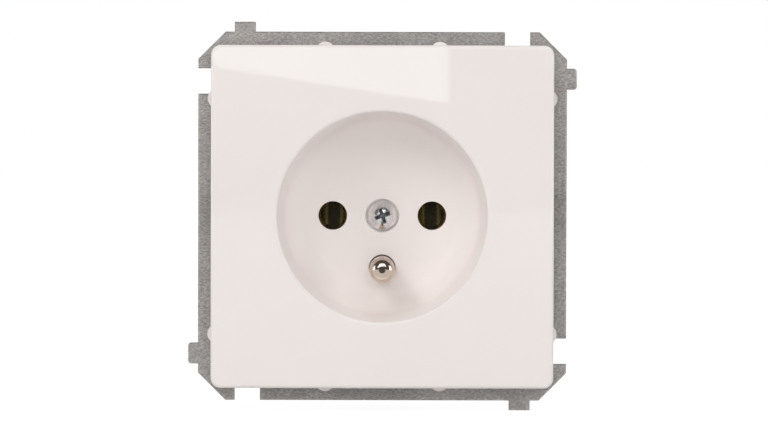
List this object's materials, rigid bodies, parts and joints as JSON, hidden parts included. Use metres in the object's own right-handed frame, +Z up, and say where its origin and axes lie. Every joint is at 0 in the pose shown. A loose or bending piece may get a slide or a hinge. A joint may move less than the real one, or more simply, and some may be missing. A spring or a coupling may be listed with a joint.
{
  "type": "wall socket",
  "caption": "Flush wall socket with earth pin: white cover plate with a round plug recess, on a steel support and a deep moulded insert with contacts.",
  "frame": {"origin": "centre of the box screw pattern, on the rear face of the steel support, which is the wall's surface", "axes": "+X right and +Z up as seen from the room, +Y into the wall; the plug comes from -Y"},
  "size_m": [0.0738, 0.0381, 0.0738],
  "materials": {
    "cover": "glossy moulded white",
    "base": "satin moulded light grey",
    "galvanised": "dull galvanised, finely mottled",
    "zinc_screw": "bright zinc plating",
    "spring_steel": "plain spring steel",
    "brass": "plain stamped brass",
    "nickel": "bright nickel plating"
  },
  "bodies": {
    "root": {"clamp_saddle_earth": "zinc_screw", "clamp_saddle_left": "zinc_screw", "clamp_saddle_right": "zinc_screw", "contact_left": "brass", "contact_lid": "base", "contact_right": "brass", "contact_spring_left": "spring_steel", "contact_spring_right": "spring_steel", "cover_nut": "zinc_screw", "cover_plate": "cover", "cover_screw": "zinc_screw", "earth_pin": "nickel", "earth_strap": "brass", "earth_terminal": "brass", "insert_base": "base", "lid_screw_1": "zinc_screw", "lid_screw_2": "zinc_screw", "lid_screw_3": "zinc_screw", "support_frame": "galvanised", "support_screw_1": "zinc_screw", "support_screw_2": "zinc_screw", "support_screw_3": "zinc_screw", "support_screw_4": "zinc_screw", "terminal_screw_earth": "zinc_screw", "terminal_screw_left": "zinc_screw", "terminal_screw_right": "zinc_screw"}
  },
  "joints": []
}
